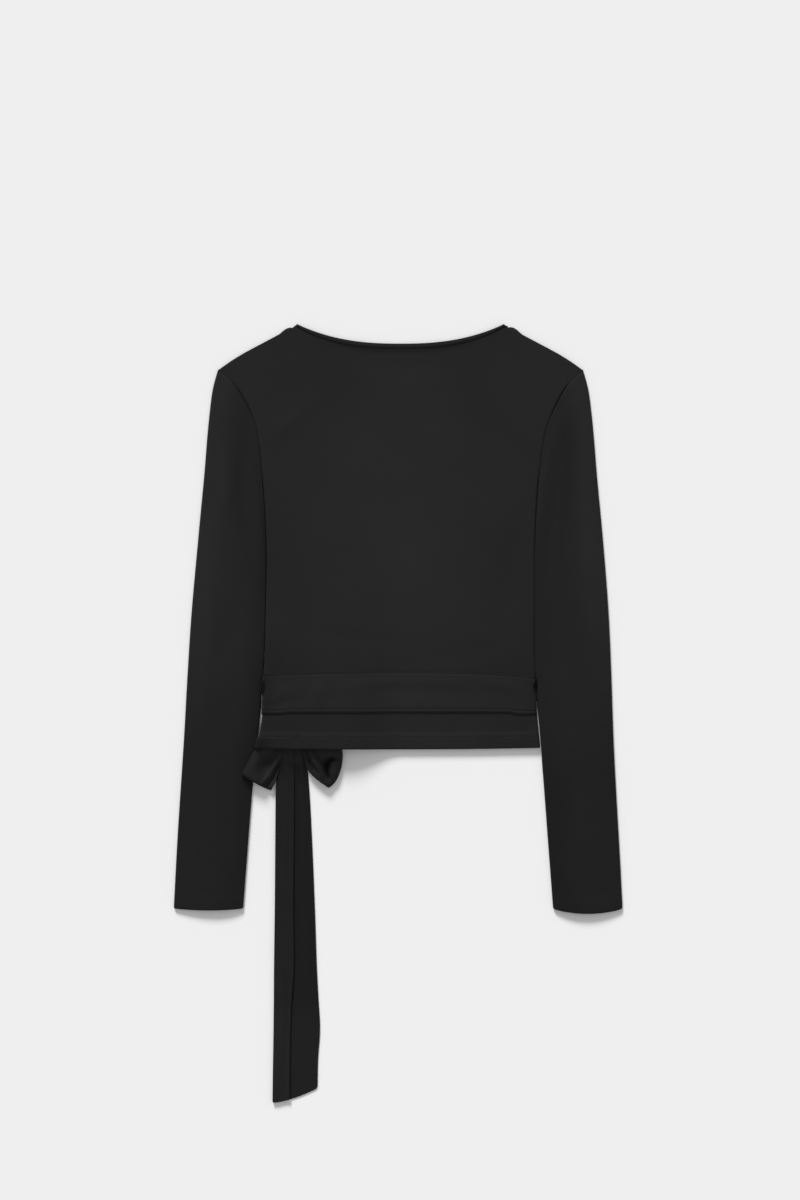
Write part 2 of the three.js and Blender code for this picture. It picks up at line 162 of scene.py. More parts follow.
# Garment millimetres to the frame's metres
def toFrame(x, y, z):
    return (x + shiftX) / 1000, (y + shiftY) / 1000, z / 1000


# Value of a table's column at a key, eased through its rows
def column(rows, key, name, at):
    last = len(rows) - 1
    i = 0
    while i < last - 1 and at > rows[i + 1][key]:
        i += 1

    def slope(k):
        a = rows[max(0, k - 1)]
        b = rows[min(last, k + 1)]
        return (b[name] - a[name]) / (b[key] - a[key])

    span = rows[i + 1][key] - rows[i][key]
    t = min(1.0, max(0.0, (at - rows[i][key]) / span))
    return cubic(rows[i][name], rows[i + 1][name], span * slope(i), span * slope(i + 1), t)


# Curve through plan points, read by its length
def edgeCurve(points):
    steps = 12
    spots = []
    for i in range(len(points) - 1):
        a = Vector(points[max(0, i - 1)])
        b = Vector(points[i])
        c = Vector(points[i + 1])
        d = Vector(points[min(len(points) - 1, i + 2)])
        slopeB = (c - a) * 0.5 if i > 0 else (c - b)
        slopeC = (d - b) * 0.5 if i < len(points) - 2 else (c - b)
        spots += [cubic(b, c, slopeB, slopeC, k / steps) for k in range(steps)]
    spots.append(Vector(points[-1]))
    lengths = [0.0]
    for a, b in zip(spots, spots[1:]):
        lengths.append(lengths[-1] + (b - a).length)

    def at(t):
        want = min(1.0, max(0.0, t)) * lengths[-1]
        high = min(len(lengths) - 1, bisect.bisect_right(lengths, want))
        low = high - 1
        return spots[low].lerp(spots[high], (want - lengths[low]) / max(1e-9, lengths[high] - lengths[low]))

    return at


def bodyEdge(side, up):
    return column(bodyRows, "up", "lean", up) + side * column(bodyRows, "up", "half", up)


def neckTop(x):
    dip = 1 - (abs(x) / garment["neckHalf"]) ** garment["neckPower"]
    return garment["backLength"] - garment["neckDepth"] * dip


def shoulderTop(x):
    t = (abs(x) - garment["neckHalf"]) / (garment["shoulderHalf"] - garment["neckHalf"])
    bow = garment["shoulderBow"] * math.sin(math.pi * t * t)
    return garment["backLength"] - garment["shoulderDrop"] * t + bow


# The neck band narrows towards the shoulder seams
def bandAt(x):
    narrowing = 0.7 * min(1.0, abs(x) / garment["neckHalf"]) ** 6
    return garment["bandWidth"] * (1 - narrowing)


def hemHeight(x):
    return garment["hemRise"] + garment["hemSag"] * (x / garment["hemHalf"]) ** 2


def wrapLine(side):
    start = Vector((side * garment["neckHalf"], garment["backLength"]))
    endX = wrap["overEnd"] if side > 0 else bodyEdge(1, wrap["height"]) - 0.8
    end = Vector((endX, wrap["height"]))
    along = (end - start).normalized()
    return {"start": start, "end": end, "inward": Vector((-along.y * side, along.x * side))}


overLine = wrapLine(1)
underLine = wrapLine(-1)


def cover(line, side, x, y):
    fromLine = (Vector((x, y)) - line["start"]).dot(line["inward"])
    return smooth(wrap["easeFar"], wrap["easeNear"], min(fromLine, side * (x - line["end"].x)))


def rise(x, y):
    across = 1 - smooth(lift["halfWidth"], lift["halfWidth"] + lift["fallX"], abs(x - lift["x"]))
    upward = 1 - smooth(lift["top"], lift["top"] + lift["fallY"], y)
    return lift["height"] * across * upward


# Painted shade darkens the lifted slope above the bow a little, so it looks no lighter than the rest
def slopeShade(x, y):
    step = 2.0
    return backLook["tone"]["slope"] * (rise(x, y - step) - rise(x, y + step))


def underZ(x, y):
    return rise(x, y) + garment["layerStep"] * cover(overLine, 1, x, y)


def backZ(x, y):
    return underZ(x, y) + garment["layerStep"] * cover(underLine, -1, x, y)


# Soft ridges (height above 0) and troughs (below 0) pressed into a panel
def creaseHeight(creases, x, y):
    total = 0.0
    for crease in creases:
        turn = math.radians(crease["angle"])
        dx = x - crease["x"]
        dy = y - crease["y"]
        along = dx * math.cos(turn) + dy * math.sin(turn)
        across = -dx * math.sin(turn) + dy * math.cos(turn)
        reach = abs(along) / crease["length"]
        if reach < 1:
            total += crease["height"] * bump(across, crease["width"]) * (1 - reach * reach) ** 2
    return total


# Even steps from low up to high, which is left out
def stretch(low, high, count):
    return [mix(low, high, i / count) for i in range(count)]


# Even steps from 0 to 1 drawn closer together at both ends, with extra ones, in mm, round each feature
def ladder(count, size, features=(), edge=0.85):
    finest = 0.22
    stops = []
    for i in range(count + 1):
        t = i / count
        stops.append(t - edge * math.sin(2 * math.pi * t) / (2 * math.pi))
    for feature in features:
        for offset in (-1.5, -0.9, -0.45, 0, 0.45, 0.9, 1.5):
            stops.append(min(1.0, max(0.0, (feature + offset) / size)))
    stops.sort()
    kept = [stops[0]]
    for stop in stops[1:]:
        if (stop - kept[-1]) * size > finest:
            kept.append(stop)
    kept[-1] = 1.0
    return kept


# A cloth piece from a grid: place(u, v) gives millimetres, and the UV is the flat cloth in centimetres.
# toneAndPaintedLight(u, v, x, y) says how far the colour lightens or darkens there: painted light and shade,
# with a piece's overall tone
def clothGrid(name, across, along, place, flat, ring=False, toneAndPaintedLight=None):
    mesh = bmesh.new()
    bmesh.ops.create_grid(mesh, x_segments=len(across) - 1, y_segments=len(along) - 1, size=0.5)
    uvLayer = mesh.loops.layers.uv.new("flatCloth")
    spots = {}
    for vert in mesh.verts:
        u = across[round((vert.co.x + 0.5) * (len(across) - 1))]
        v = along[round((vert.co.y + 0.5) * (len(along) - 1))]
        spots[vert.index] = (u, v)
    for face in mesh.faces:
        for loop in face.loops:
            u, v = spots[loop.vert.index]
            loop[uvLayer].uv = (u * flat[0] / 10, v * flat[1] / 10)
    paintedLightLayer = mesh.verts.layers.float.new("toneAndPaintedLight")
    for vert in mesh.verts:
        x, y, z = place(*spots[vert.index])
        vert.co = toFrame(x, y, z)
        vert[paintedLightLayer] = toneAndPaintedLight(*spots[vert.index], x, y) if toneAndPaintedLight else 0.0
    if ring:
        bmesh.ops.remove_doubles(mesh, verts=mesh.verts, dist=0.00002)
    bmesh.ops.recalc_face_normals(mesh, faces=mesh.faces)
    if not ring and sum(face.normal.z * face.calc_area() for face in mesh.faces) < 0:
        bmesh.ops.reverse_faces(mesh, faces=mesh.faces)
    return finishMesh(name, mesh)


def addObject(name, data):
    made = bpy.data.objects.new(name, data)
    bpy.context.scene.collection.objects.link(made)
    return made


def finishMesh(name, mesh):
    data = bpy.data.meshes.new(name)
    mesh.to_mesh(data)
    mesh.free()
    for polygon in data.polygons:
        polygon.use_smooth = True
    return addObject(name, data)


# offset 1 puts the wall on the grid's outer side, -1 on its inner side and 0 on both
def addWall(piece, wall, offset, rounds=1):
    solid = piece.modifiers.new("wall", "SOLIDIFY")
    solid.thickness = wall / 1000
    solid.offset = offset
    softer = piece.modifiers.new("round", "SUBSURF")
    softer.levels = rounds
    softer.render_levels = rounds
    return piece


def ready(piece, material, nodes=()):
    piece.data.materials.append(material)
    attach(piece, "root")
    if nodes:
        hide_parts(*nodes)
    return piece


# Beside the sash both sides draw in to a small hollow: how far each piece draws in, and how much painted
# shade darkens it
sideHollow = {"y": 66.0, "reach": 8.0, "left": 3.0, "right": 3.2, "sleeve": 2.2, "shade": 0.75,
              "below": 0.3}
# The folded hem flares a little at its left corner, up to the sleeve
hemFlare = {"out": 3.0, "low": 11.0, "high": 15.0}


def hollow(y):
    return bump(y - sideHollow["y"], sideHollow["reach"])


# Materials

def linear(hexColour):
    parts = [int(hexColour[i:i + 2], 16) / 255 for i in (1, 3, 5)]
    return [p / 12.92 if p <= 0.04045 else ((p + 0.055) / 1.055) ** 2.4 for p in parts] + [1.0]


def addNode(tree, kind, settings=None, links=None):
    node = tree.nodes.new(kind)
    for key, value in (settings or {}).items():
        if isinstance(key, int) or key in node.inputs:
            node.inputs[key].default_value = value
        else:
            setattr(node, key, value)
    for key, source in (links or {}).items():
        tree.links.new(source, node.inputs[key])
    return node


# Viscose jersey: dull, with fine lengthwise wales and a faint nap, drawn as sheen, that catches light at a
# slant
def jerseyMaterial(name, look):
    material = bpy.data.materials.new(name)
    material.use_nodes = True
    tree = material.node_tree
    shader = tree.nodes["Principled BSDF"]
    shader.inputs["Roughness"].default_value = look["roughness"]
    shader.inputs["Specular IOR Level"].default_value = look["specular"]
    shader.inputs["Sheen Weight"].default_value = look["sheen"]
    shader.inputs["Sheen Roughness"].default_value = 0.45
    flat = addNode(tree, "ShaderNodeTexCoord")
    onCloth = {"Vector": flat.outputs["UV"]}
    # On UVs in centimetres a scale of 4.5 draws the wales 0.7 mm apart, as on fine jersey
    wales = addNode(tree, "ShaderNodeTexWave",
                    {"bands_direction": "X", "Scale": look["wales"], "Distortion": 1.2, "Detail": 2.0,
                     "Detail Scale": 3.0}, onCloth)
    courses = addNode(tree, "ShaderNodeTexWave",
                      {"bands_direction": "Y", "Scale": look["wales"] * 1.35, "Distortion": 1.6,
                       "Detail": 2.0, "Detail Scale": 4.0}, onCloth)
    fuzz = addNode(tree, "ShaderNodeTexNoise", {"Scale": 22.0, "Detail": 4.0, "Roughness": 0.6}, onCloth)
    knit = addNode(tree, "ShaderNodeMath", {"operation": "MULTIPLY_ADD", 1: 0.4},
                   {0: courses.outputs["Fac"], 2: wales.outputs["Fac"]})
    relief = addNode(tree, "ShaderNodeMath", {"operation": "ADD"},
                     {0: knit.outputs[0], 1: fuzz.outputs["Fac"]})
    bumps = addNode(tree, "ShaderNodeBump", {"Strength": look["bump"], "Distance": 0.0004},
                    {"Height": relief.outputs[0]})
    # The dye is a little uneven over a few centimetres
    dye = addNode(tree, "ShaderNodeTexNoise", {"Scale": 9.0, "Detail": 3.0, "Roughness": 0.5},
                  {"Vector": flat.outputs["Object"]})
    tone = addNode(tree, "ShaderNodeValToRGB", None, {"Fac": dye.outputs["Fac"]})
    tone.color_ramp.elements[0].position = 0.3
    tone.color_ramp.elements[1].position = 0.7
    tone.color_ramp.elements[0].color = linear(look["dark"])
    tone.color_ramp.elements[1].color = linear(look["light"])
    # Painted light and shade: each piece's toneAndPaintedLight attribute scales the colour, lighter above 0
    # and darker below
    toneAndPaintedLight = addNode(tree, "ShaderNodeAttribute", {"attribute_name": "toneAndPaintedLight"})
    paintedLightFactor = addNode(tree, "ShaderNodeMath", {"operation": "ADD", 1: 1.0}, {0: toneAndPaintedLight.outputs["Fac"]})
    paintedLightColour = addNode(tree, "ShaderNodeMix", {"data_type": "RGBA", "blend_type": "MULTIPLY", 0: 1.0},
                      {6: tone.outputs["Color"], 7: paintedLightFactor.outputs[0]})
    grain = addNode(tree, "ShaderNodeMix", {"data_type": "RGBA", "blend_type": "MULTIPLY", 0: 0.3},
                    {6: paintedLightColour.outputs[2], 7: fuzz.outputs["Fac"]})
    tree.links.new(grain.outputs[2], shader.inputs["Base Color"])
    tree.links.new(bumps.outputs["Normal"], shader.inputs["Normal"])
    return material


jersey = {"dark": "#222222", "light": "#252525", "roughness": 0.85, "specular": 0.12, "sheen": 0.02,
          "wales": 4.5, "bump": 0.35}
spunThread = {"dark": "#2b2b2b", "light": "#303030", "roughness": 0.5, "specular": 0.3, "sheen": 0.0,
              "wales": 30.0, "bump": 0.1}
bodyJersey = jerseyMaterial("blackViscoseJersey", jersey)
sashJersey = jerseyMaterial("doubledSashJersey", dict(jersey, roughness=0.82, specular=0.14, bump=0.3))
bandJersey = jerseyMaterial("boundEdgeJersey", dict(jersey, dark="#1f1f1f", light="#232323", bump=0.3))
threadBlack = jerseyMaterial("spunPolyesterThread", spunThread)
threadDark = jerseyMaterial("spunPolyesterThreadDark",
                            dict(spunThread, dark="#1e1e1e", light="#222222", roughness=0.6, specular=0.2))
print("materials ready")

# Back panel

backLook = {
    "columns": 74,
    "rows": 96,
    "overhang": 1.1,
    "seamDepth": 2.0,
    "hemDepth": 16.5,
    "hemThick": 0.5,
    "hemCreaseLine": 17.5,
    "stitchLines": (11.8, 15.4),
    "width": 300.0,
    "height": 450.0,
    # tone: how far painted light lightens and painted shade darkens parts of the back
    "tone": {"base": -0.07, "middle": 0.2, "sides": 0.12, "corner": 0.35, "neck": 0.36, "slope": 0.35},
    "creases": [
        {"x": -20, "y": 300, "length": 170, "width": 46, "angle": 72, "height": 0.9},
        {"x": 62, "y": 268, "length": 150, "width": 34, "angle": 98, "height": 0.7},
        {"x": -92, "y": 210, "length": 120, "width": 20, "angle": 84, "height": -0.6},
        {"x": 118, "y": 190, "length": 110, "width": 14, "angle": 80, "height": -0.7},
        {"x": -122, "y": 350, "length": 62, "width": 10, "angle": 40, "height": 0.7},
        {"x": 126, "y": 346, "length": 58, "width": 9, "angle": 136, "height": 0.6},
        {"x": 8, "y": 412, "length": 96, "width": 9, "angle": 2, "height": -0.35},
        {"x": -48, "y": 118, "length": 88, "width": 7, "angle": -7, "height": -0.5},
        {"x": 70, "y": 104, "length": 64, "width": 6, "angle": 9, "height": -0.45},
        {"x": -86, "y": 62, "length": 52, "width": 8, "angle": 60, "height": 0.6},
    ],
}


def panelSide(side, grow):
    points = []
    for row in bodyRows:
        x = row["lean"] + side * (row["half"] + grow)
        points.append((x, hemHeight(x) if row["up"] == 0 else row["up"]))
    return edgeCurve(points)


def patchPlan(bottom, top, left, right):
    low = (Vector(bottom(0)), Vector(bottom(1)))
    high = (Vector(top(0)), Vector(top(1)))

    def plan(u, v):
        ends = Vector(bottom(u)).lerp(Vector(top(u)), v) + Vector(left(v)).lerp(Vector(right(v)), u)
        return ends - low[0].lerp(low[1], u).lerp(high[0].lerp(high[1], u), v)

    return plan


def backPlan(grow):
    tip = garment["shoulderHalf"] + grow

    def top(u):
        x = mix(-tip, tip, u)
        tuck = bandAt(x) + 0.2
        if abs(x) >= garment["neckHalf"]:
            tuck = (bandAt(garment["neckHalf"]) + 0.2) * (1 - smooth(0, 3, abs(x) - garment["neckHalf"]))
            return (x, shoulderTop(min(abs(x), garment["shoulderHalf"])) - tuck)
        return (x, neckTop(x) - tuck)

    def hem(u):
        x = mix(bodyEdge(-1, 0) - grow, bodyEdge(1, 0) + grow, u)
        return (x, hemHeight(x))

    return patchPlan(hem, top, panelSide(-1, grow), panelSide(1, grow))


# Painted shade under the neck band, over its seam allowance: a soft dark line, widest in the middle
def neckShade(x, y):
    if abs(x) >= garment["neckHalf"]:
        return 0
    below = neckTop(x) - garment["bandWidth"] - y
    return backLook["tone"]["neck"] * bump(below - 1.5, 3.4) * (1 - smooth(48, 96, abs(x)))


def backSurface(x, y):
    z = backZ(x, y) + creaseHeight(backLook["creases"], x, y)
    above = y - hemHeight(x)
    z += backLook["hemThick"] * (1 - smooth(backLook["hemDepth"] - 1, backLook["hemDepth"] + 2, above))
    for line in backLook["stitchLines"]:
        z -= 0.1 * bump(above - line, 1.0)
    return z


def makeBack():
    plan = backPlan(backLook["overhang"])

    def place(u, v):
        spot = plan(u, v)
        z = backSurface(spot.x, spot.y)
        edge = min(spot.x - bodyEdge(-1, spot.y), bodyEdge(1, spot.y) - spot.x)
        # The side and armhole seams dip less above the underarm, and least at the shoulder
        fade = 0.3 + 0.7 * (1 - smooth(285, 305, spot.y)) - 0.25 * smooth(388, 400, spot.y)
        fade += 0.5 * smooth(352, 364, spot.y) * (1 - smooth(386, 396, spot.y))
        z -= backLook["seamDepth"] * fade * (1 - smooth(-0.6, 1.3, edge))
        z -= 0.3 * bump(spot.y - hemHeight(spot.x), 0.9)
        below = sideHollow["below"] * (1 - smooth(48, 58, spot.y))
        flare = hemFlare["out"] * (1 - smooth(hemFlare["low"], hemFlare["high"], spot.y))
        x = spot.x + (sideHollow["left"] * hollow(spot.y) + below) * (1 - smooth(0, 0.03, u))
        x -= (sideHollow["right"] * hollow(spot.y) + below) * smooth(0.97, 1, u)
        x -= flare * (1 - smooth(0, 0.05, u))
        return x, spot.y, z

    # Painted light and shade on the back: slightly darker overall, lighter in the middle, darker at the lower
    # sides, the left hem corner, the slope above the bow and under the neck band
    def toneAndPaintedLight(u, v, x, y):
        tone = backLook["tone"]
        middle = bump(x - 2, 92) * bump(y - 240, 130)
        sides = (1 - smooth(60, 170, y)) * smooth(60, 140, abs(x))
        corner = (1 - smooth(8, 16, y)) * smooth(132, 150, -x)
        shade = tone["sides"] * sides + tone["corner"] * corner + slopeShade(x, y) + neckShade(x, y)
        return tone["base"] + tone["middle"] * middle - shade

    features = backLook["stitchLines"] + (backLook["hemCreaseLine"],)
    piece = clothGrid("backPanelCloth", ladder(backLook["columns"], backLook["width"]),
                      ladder(backLook["rows"], 430, features), place, (backLook["width"], backLook["height"]),
                      toneAndPaintedLight=toneAndPaintedLight)
    return ready(addWall(piece, garment["wall"], 1), bodyJersey, ["back_panel"])


backCloth = makeBack()
print("back panel ready")

# Wrapped fronts, under the back

frontLook = {
    "columns": 40,
    "rows": 72,
    "length": 440.0,
    "reach": 4.2,
    "shade": 0.9,
    "behind": (55, 58, 74, 80),
    "creases": [
        {"x": 30, "y": 150, "length": 150, "width": 18, "angle": 60, "height": 0.3},
        {"x": 90, "y": 260, "length": 120, "width": 24, "angle": 96, "height": 0.25},
    ],
}


# The fronts close the sides' hollows from behind
def behind(y):
    low, lowEnd, high, highEnd = frontLook["behind"]
    return smooth(low, lowEnd, y) * (1 - smooth(high, highEnd, y))


def makeFront(name, node, side, line, base, flat):
    inset = line["inward"] * (garment["bandWidth"] + garment["seamGap"])
    start = line["start"] + inset
    bend = line["end"] + inset
    footX = line["end"].x
    points = [(footX, hemHeight(footX)), (footX, wrap["height"] * 0.45), (footX, wrap["height"] * 0.78)]
    for t in (0.02, 0.1, 0.25, 0.5, 0.75, 1):
        points.append((mix(bend.x, start.x, t), mix(bend.y, start.y, t)))
    free = edgeCurve(points)
    seam = panelSide(side, 0)
    seamFoot = seam(0)

    def shoulder(u):
        x = mix(start.x, side * garment["shoulderHalf"], u)
        return (x, mix(start.y, shoulderTop(x), smooth(0, 0.2, u)))

    def hem(u):
        x = mix(footX, seamFoot.x, u)
        return (x, hemHeight(x))

    plan = patchPlan(hem, shoulder, free, seam)

    def place(u, v):
        spot = plan(u, v)
        z = base(spot.x, spot.y) + max(0.0, creaseHeight(frontLook["creases"], spot.x, spot.y))
        return spot.x + side * frontLook["reach"] * behind(spot.y) * smooth(0.9, 1, u), spot.y, z

    # Painted shade: the fronts' edges darken where they show in the side hollows
    def toneAndPaintedLight(u, v, x, y):
        return -frontLook["shade"] * smooth(0.8, 0.95, u) * behind(y)

    piece = clothGrid(name, ladder(frontLook["columns"], 260, edge=0.6),
                      ladder(frontLook["rows"], frontLook["length"], edge=0.6), place, flat, toneAndPaintedLight=toneAndPaintedLight)
    return ready(addWall(piece, garment["wall"] - 0.1, 1), bodyJersey, [node])


frontOver = makeFront("frontOverCloth", "front_over", 1, overLine, rise, (260, 450))
frontUnder = makeFront("frontUnderCloth", "front_under", -1, underLine, underZ, (300, 450))
print("fronts ready")

# Neck bands

bandLook = {"proud": 0.8, "wall": 1.2, "lift": 0.1, "columns": 90, "rows": 8, "toneAndPaintedLight": -0.2}


# A band is a folded strip: its top is rounded across, and it sits a little proud of the panel
def makeBand(name, node, spotAt, base, flatLength, proud):
    def place(u, v):
        x, y = spotAt(u, v)
        rounded = math.sin(math.pi * min(1, max(0, v))) ** 0.6
        return x, y, base(x, y) + bandLook["lift"] + proud * rounded

    across = stretch(0, 1, bandLook["rows"]) + [1.0]
    piece = clothGrid(name, ladder(bandLook["columns"], flatLength, edge=0.2), across, place,
                      (flatLength, garment["bandWidth"]), toneAndPaintedLight=lambda u, v, x, y: bandLook["toneAndPaintedLight"])
    return ready(addWall(piece, bandLook["wall"], 1), bandJersey, [node])


def backBandSpot(u, v):
    x = mix(-garment["neckHalf"], garment["neckHalf"], u)
    return x, neckTop(x) - bandAt(x) * (1 - v)


def frontBandSpot(line):
    def spotAt(u, v):
        spot = line["start"].lerp(line["end"], u * 0.985) + line["inward"] * garment["bandWidth"] * v
        return spot.x, spot.y

    return spotAt


bandBack = makeBand("neckBandBackCloth", "neck_band_back", backBandSpot, backZ, 232, bandLook["proud"])
bandOver = makeBand("neckBandOverCloth", "neck_band_over", frontBandSpot(overLine), rise, 424, 0.0)
bandUnder = makeBand("neckBandUnderCloth", "neck_band_under", frontBandSpot(underLine), underZ, 455, 0.0)
print("neck bands ready")

# Sleeves

sleeveLook = {
    "flat": 3.2,
    "crown": 2.6,
    "around": 84,
    "along": 78,
    "width": 78.0,
    "length": 540.0,
    "flatWidth": 170.0,
    "armTop": 196.9,
    "armFoot": 145.4,
    "seamOverlap": 0.7,
    "cuffSag": {-1: 2.3, 1: 6.0},
    "cuffThick": 0.14,
    # tone: painted light and shade on the sleeves
    "tone": {"base": -0.29, "upper": 0.09, "outer": 0.26, "ridge": 0.06, "valley": 0.07,
             "underarm": 0.05, "inner": {-1: 0.05, 1: 0.16}},
    "stitchLines": (14.0, 17.2),
    "creases": {
        -1: [
            {"x": -182, "y": 300, "length": 120, "width": 9, "angle": 80, "height": 1.0},
            {"x": -166, "y": 250, "length": 90, "width": 6, "angle": 97, "height": -0.8},
            {"x": -205, "y": 190, "length": 130, "width": 11, "angle": 88, "height": 0.8},
            {"x": -190, "y": 110, "length": 60, "width": 8, "angle": 70, "height": -0.6},
            {"x": -214, "y": 28, "length": 110, "width": 12, "angle": 86, "height": 0.8},
            {"x": -188, "y": -60, "length": 90, "width": 9, "angle": 92, "height": -0.7},
            {"x": -222, "y": -110, "length": 50, "width": 9, "angle": 80, "height": 0.5},
        ],
        1: [
            {"x": 180, "y": 290, "length": 100, "width": 8, "angle": 98, "height": 0.9},
            {"x": 162, "y": 236, "length": 100, "width": 6, "angle": 84, "height": -0.9},
            {"x": 208, "y": 210, "length": 120, "width": 12, "angle": 92, "height": 0.8},
            {"x": 186, "y": 96, "length": 80, "width": 9, "angle": 104, "height": -0.6},
            {"x": 212, "y": 10, "length": 100, "width": 10, "angle": 95, "height": 0.8},
            {"x": 184, "y": -70, "length": 80, "width": 8, "angle": 88, "height": -0.6},
            {"x": 218, "y": -118, "length": 46, "width": 8, "angle": 100, "height": 0.5},
        ],
    },
}


def sleevePlan(side):
    points = []
    for row in reversed([row for row in bodyRows if row["up"] >= garment["underarm"]]):
        points.append((row["lean"] + side * (row["half"] + sleeveLook["seamOverlap"]), row["up"]))
    armhole = edgeCurve(points)

    def plan(s, v):
        outUp = mix(shoulderHeight, sleeveFoot, v)
        inUp = mix(garment["underarm"], sleeveFoot, v)
        swingSign = 1 if side < 0 else -1
        outHalf = column(outerRows, "up", "half", outUp)
        outHalf += swingSign * garment["sleeveSwing"] * smooth(-250, 100, -outUp)
        inHalf = column(innerRows, "up", "half", inUp)
        inHalf += swingSign * garment["sleeveSwing"] * smooth(-250, 100, -inUp)
        start = armhole(s)
        fade = max(0.0, 1 - v) ** 1.4
        straight = Vector((side * mix(sleeveLook["armTop"], sleeveLook["armFoot"], s),
                           mix(shoulderHeight, garment["underarm"], s)))
        sag = sleeveLook["cuffSag"][side] * max(0.0, math.sin(math.pi * s)) ** 0.65 * v ** 6
        inHalf += sideHollow["sleeve"] * hollow(inUp)
        if side > 0:
            inHalf += 0.9 * bump(inUp - 12, 26)
        x = side * mix(outHalf, inHalf, s) + (start.x - straight.x) * fade
        y = mix(outUp, inUp, s) + (start.y - straight.y) * fade - sag
        return Vector((x, y))

    return plan


def sleeveTop(side, s, v, spot):
    arch = math.sin(math.pi * s ** 1.25) ** 0.85
    start = smooth(0, 0.05, v)
    z = sleeveLook["flat"] + sleeveLook["crown"] * arch * mix(0.25, 1, start)
    z += creaseHeight(sleeveLook["creases"][side], spot.x, spot.y) * smooth(0, 0.2, arch)
    above = (1 - v) * sleeveLook["length"]
    for line in sleeveLook["stitchLines"]:
        z -= 0.06 * bump(above - line, 1.0)
    z += sleeveLook["cuffThick"] * (1 - smooth(17, 20, above))
    return z


def makeSleeve(name, node, side):
    plan = sleevePlan(side)
    bend = sleeveLook["flat"] / 2
    edgeReach = bend * 1.3

    def place(u, v):
        turn = u * 2 * math.pi
        c = math.cos(turn)
        s = 0.5 - 0.5 * math.copysign(abs(c) ** 0.75, c)
        spot = plan(s, v)
        near = min(s, 1 - s) * sleeveLook["width"]
        roll = 1.0 if near >= edgeReach else math.sqrt(max(0.0, 1 - (1 - near / edgeReach) ** 2))
        if math.sin(turn) >= 0:
            z = mix(bend, sleeveTop(side, s, v, spot), roll)
        else:
            z = mix(bend, 0.0, roll)
        return spot.x, spot.y, z

    # Painted light and shade on the sleeve: darker overall; on its upper part lighter along the outer edge
    # and a ridge, darker in a valley and towards the inner edge; lower down darker next to the body
    def toneAndPaintedLight(u, v, x, y):
        tone = sleeveLook["tone"]
        s = 0.5 - 0.5 * math.cos(u * 2 * math.pi)
        upper = 1 - smooth(0.4, 0.75, v)
        reach = mix(0.12, 0.42, smooth(0.06, 0.28, v))
        lit = tone["outer"] * (1 - smooth(reach * 0.4, reach + 0.1, s))
        lit += tone["ridge"] * bump(s - 0.55, 0.14) * smooth(0.15, 0.35, v)
        lit -= tone["underarm"] * smooth(0.6, 1, s) + tone["valley"] * bump(s - 0.28, 0.1)
        inner = tone["inner"][side] * smooth(0.4, 0.95, s) * smooth(0.35, 0.65, v)
        return tone["base"] + (tone["upper"] + lit) * upper - inner

    around = stretch(0, 1, sleeveLook["around"]) + [1.0]
    length = sleeveLook["length"]
    features = [length - line for line in sleeveLook["stitchLines"]]
    piece = clothGrid(name, around, ladder(sleeveLook["along"], length, features, edge=0.6), place,
                      (sleeveLook["flatWidth"], length), ring=True, toneAndPaintedLight=toneAndPaintedLight)
    return ready(addWall(piece, garment["wall"] - 0.2, -1), bodyJersey, [node])


sleeveLeft = makeSleeve("sleeveLeftCloth", "sleeve_left", -1)
sleeveRight = makeSleeve("sleeveRightCloth", "sleeve_right", 1)
print("sleeves ready")

# Sash

sashLook = {
    "lip": 4.0,
    "topLine": 1.2,
    "rows": 22,
    "columns": 120,
    "turn": 0.06,
    "halfSpan": 147.0,
    "bow": 3.0,
    "rightSag": 3.5,
    "leftStep": {"depth": 1.3, "from": -128, "to": -120},
    "rightStep": {"depth": 2.2, "from": 119, "to": 125},
    # tone: painted light and shade on the sash
    "tone": {"base": -0.2, "middle": 0.2, "strip": 0.08, "topEdge": 0.3, "ends": 0.2, "darkest": -0.92},
    "creases": [
        {"x": -60, "y": 66, "length": 70, "width": 5, "angle": 4, "height": 0.4},
        {"x": 40, "y": 60, "length": 90, "width": 6, "angle": -3, "height": -0.4},
        {"x": 110, "y": 68, "length": 40, "width": 5, "angle": -12, "height": 0.5},
        {"x": -122, "y": 62, "length": 30, "width": 6, "angle": 20, "height": 0.5},
        {"x": -132, "y": 48, "length": 22, "width": 4, "angle": 12, "height": -0.5},
        {"x": 8, "y": 73, "length": 100, "width": 4, "angle": 1, "height": 0.3},
    ],
}


# Height of the sash from the hem: run goes from -1 at the left side to 1 at the right one
def sashHeight(run, v):
    bow = sashLook["bow"] * (1 - run ** 2) - sashLook["rightSag"] * max(0.0, run) ** 4
    x = run * sashLook["halfSpan"]
    left, right = sashLook["leftStep"], sashLook["rightStep"]
    step = left["depth"] * (1 - smooth(left["from"], left["to"], x))
    step += right["depth"] * smooth(right["from"], right["to"], x)
    return sashSizes["bottom"] + sashSizes["width"] * v + bow * v - step * (1 - v) ** 3


